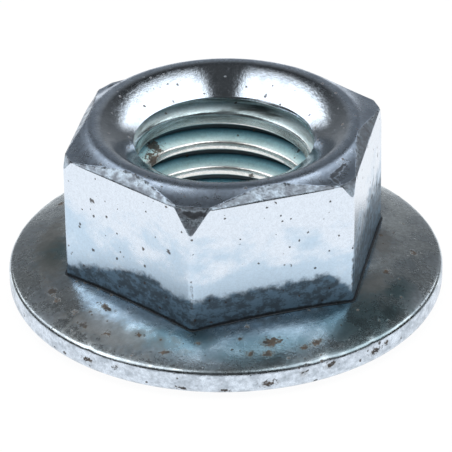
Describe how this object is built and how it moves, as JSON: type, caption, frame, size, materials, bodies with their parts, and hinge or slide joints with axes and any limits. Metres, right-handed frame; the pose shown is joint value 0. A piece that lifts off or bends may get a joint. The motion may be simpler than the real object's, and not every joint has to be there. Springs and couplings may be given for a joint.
{
  "type": "serrated flange nut",
  "caption": "Hexagon nut with a domed crown and a wide built-in washer flange, toothed underneath so that it locks against the surface it clamps.",
  "frame": {"origin": "on the thread axis, in the plane of the tooth tips that the nut bears on", "axes": "+Z along the thread axis towards the crown; +X through a corner of the hexagon"},
  "size_m": [0.0222, 0.0222, 0.0096],
  "materials": {
    "plated_steel": "bright blue-white zinc plating on cold formed steel, with small pits and brown stains"
  },
  "bodies": {
    "root": {"flange_nut": "plated_steel"}
  },
  "joints": []
}
